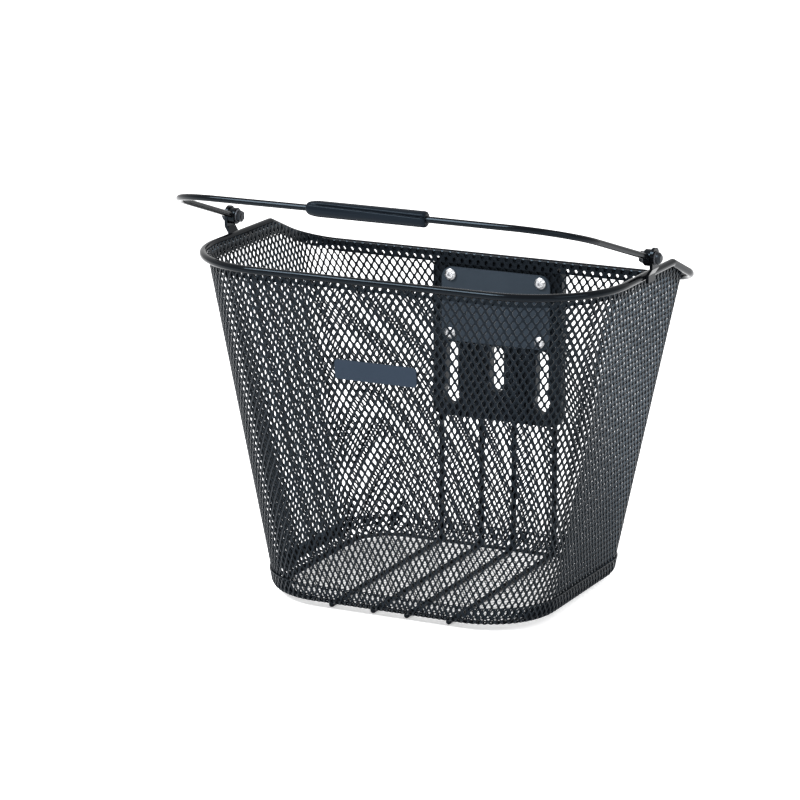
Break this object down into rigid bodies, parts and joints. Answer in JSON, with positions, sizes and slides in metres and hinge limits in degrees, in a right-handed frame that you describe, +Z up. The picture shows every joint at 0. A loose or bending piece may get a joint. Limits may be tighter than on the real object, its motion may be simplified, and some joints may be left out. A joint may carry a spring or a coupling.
{
  "type": "handlebar basket",
  "caption": "Deep tapering mesh basket with a wire rim, a lowered back edge, a swinging bail handle with a grip, and a slotted back plate for a handlebar adapter.",
  "frame": {"origin": "on the ground plane, midway between the sides and midway front to back between the bail grip and the back plate's rear face, at the underside of the support wires", "axes": "+X to the right as seen from the front, +Y towards the back plate, +Z up"},
  "size_m": [0.3764, 0.2657, 0.3347],
  "materials": {
    "rim": "gloss black coating",
    "mesh": "satin black coating",
    "wire": "gloss black coating",
    "plate": "black plastic, fine grain",
    "clamp": "slate grey plastic, satin",
    "grip": "dark slate plastic, satin",
    "zinc": "bright zinc plating",
    "bolt": "black plated steel",
    "badge": "blank dark slate plate, satin"
  },
  "bodies": {
    "basket": {"rim_tube": "rim", "bracket_left": "rim", "bracket_right": "rim", "mesh_wall": "mesh", "hem_band": "mesh", "mesh_floor": "mesh", "support_wire_1": "wire", "support_wire_2": "wire", "support_wire_3": "wire", "support_wire_4": "wire", "adapter_plate": "plate", "clamp_plate": "clamp", "plate_screw_1": "zinc", "plate_screw_2": "zinc", "plate_screw_3": "zinc", "plate_screw_4": "zinc", "plate_nut_1": "zinc", "plate_nut_2": "zinc", "plate_nut_3": "zinc", "plate_nut_4": "zinc", "pivot_nut_left": "zinc", "pivot_nut_right": "zinc", "inner_washer_left": "zinc", "inner_washer_right": "zinc", "pivot_bolt_left": "bolt", "pivot_bolt_right": "bolt", "outer_washer_left": "bolt", "outer_washer_right": "bolt", "badge": "badge"},
    "bail": {"bail_wire": "wire", "grip": "grip"}
  },
  "joints": [
    {"name": "bail_pivot", "type": "hinge", "parent": "basket", "child": "bail", "pos_m": [0, 0.01049, 0.2848], "axis": [1, 0, 0], "range_deg": [-167, 25]}
  ]
}
